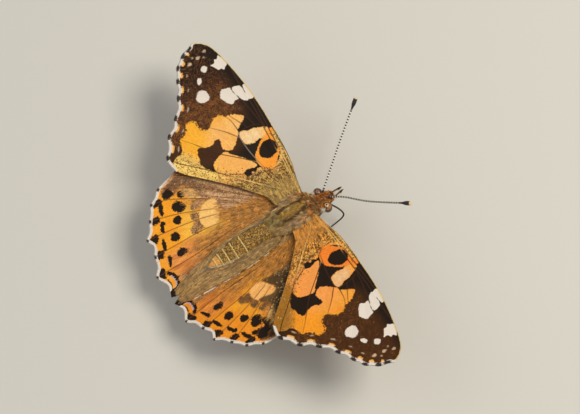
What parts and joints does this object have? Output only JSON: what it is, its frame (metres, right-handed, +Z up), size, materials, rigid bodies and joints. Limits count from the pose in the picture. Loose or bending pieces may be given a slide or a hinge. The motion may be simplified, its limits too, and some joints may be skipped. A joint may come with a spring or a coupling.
{
  "type": "painted lady butterfly",
  "caption": "Life-size still model of a painted lady butterfly with spread wings, veined membranes, feelers, tongue and legs, standing on its feet.",
  "frame": {"origin": "on the floor, under the middle of the whole animal's box", "axes": "+X towards the head, +Y to the animal's left, across the span, +Z up"},
  "size_m": [0.045, 0.0668, 0.0154],
  "materials": {
    "wing_scales": "matt orange, brown and black scales with white spots",
    "rusty_hair": "short rusty hair",
    "olive_hair": "olive brown hair with a soft sheen",
    "abdomen_scales": "dark olive scales with thin cream rings",
    "eye": "glossy brown",
    "black_horn": "satin black with pale rings on the feelers",
    "leg": "matt pale brown"
  },
  "bodies": {
    "root": {"head": "rusty_hair", "thorax": "olive_hair", "abdomen": "abdomen_scales", "eye_left": "eye", "eye_right": "eye", "palp_left": "rusty_hair", "palp_right": "rusty_hair", "proboscis": "black_horn", "antenna_left": "black_horn", "antenna_right": "black_horn", "forewing_left": "wing_scales", "forewing_right": "wing_scales", "hindwing_left": "wing_scales", "hindwing_right": "wing_scales", "foreleg_left": "leg", "foreleg_right": "leg", "midleg_left": "leg", "midleg_right": "leg", "hindleg_left": "leg", "hindleg_right": "leg"}
  },
  "joints": []
}
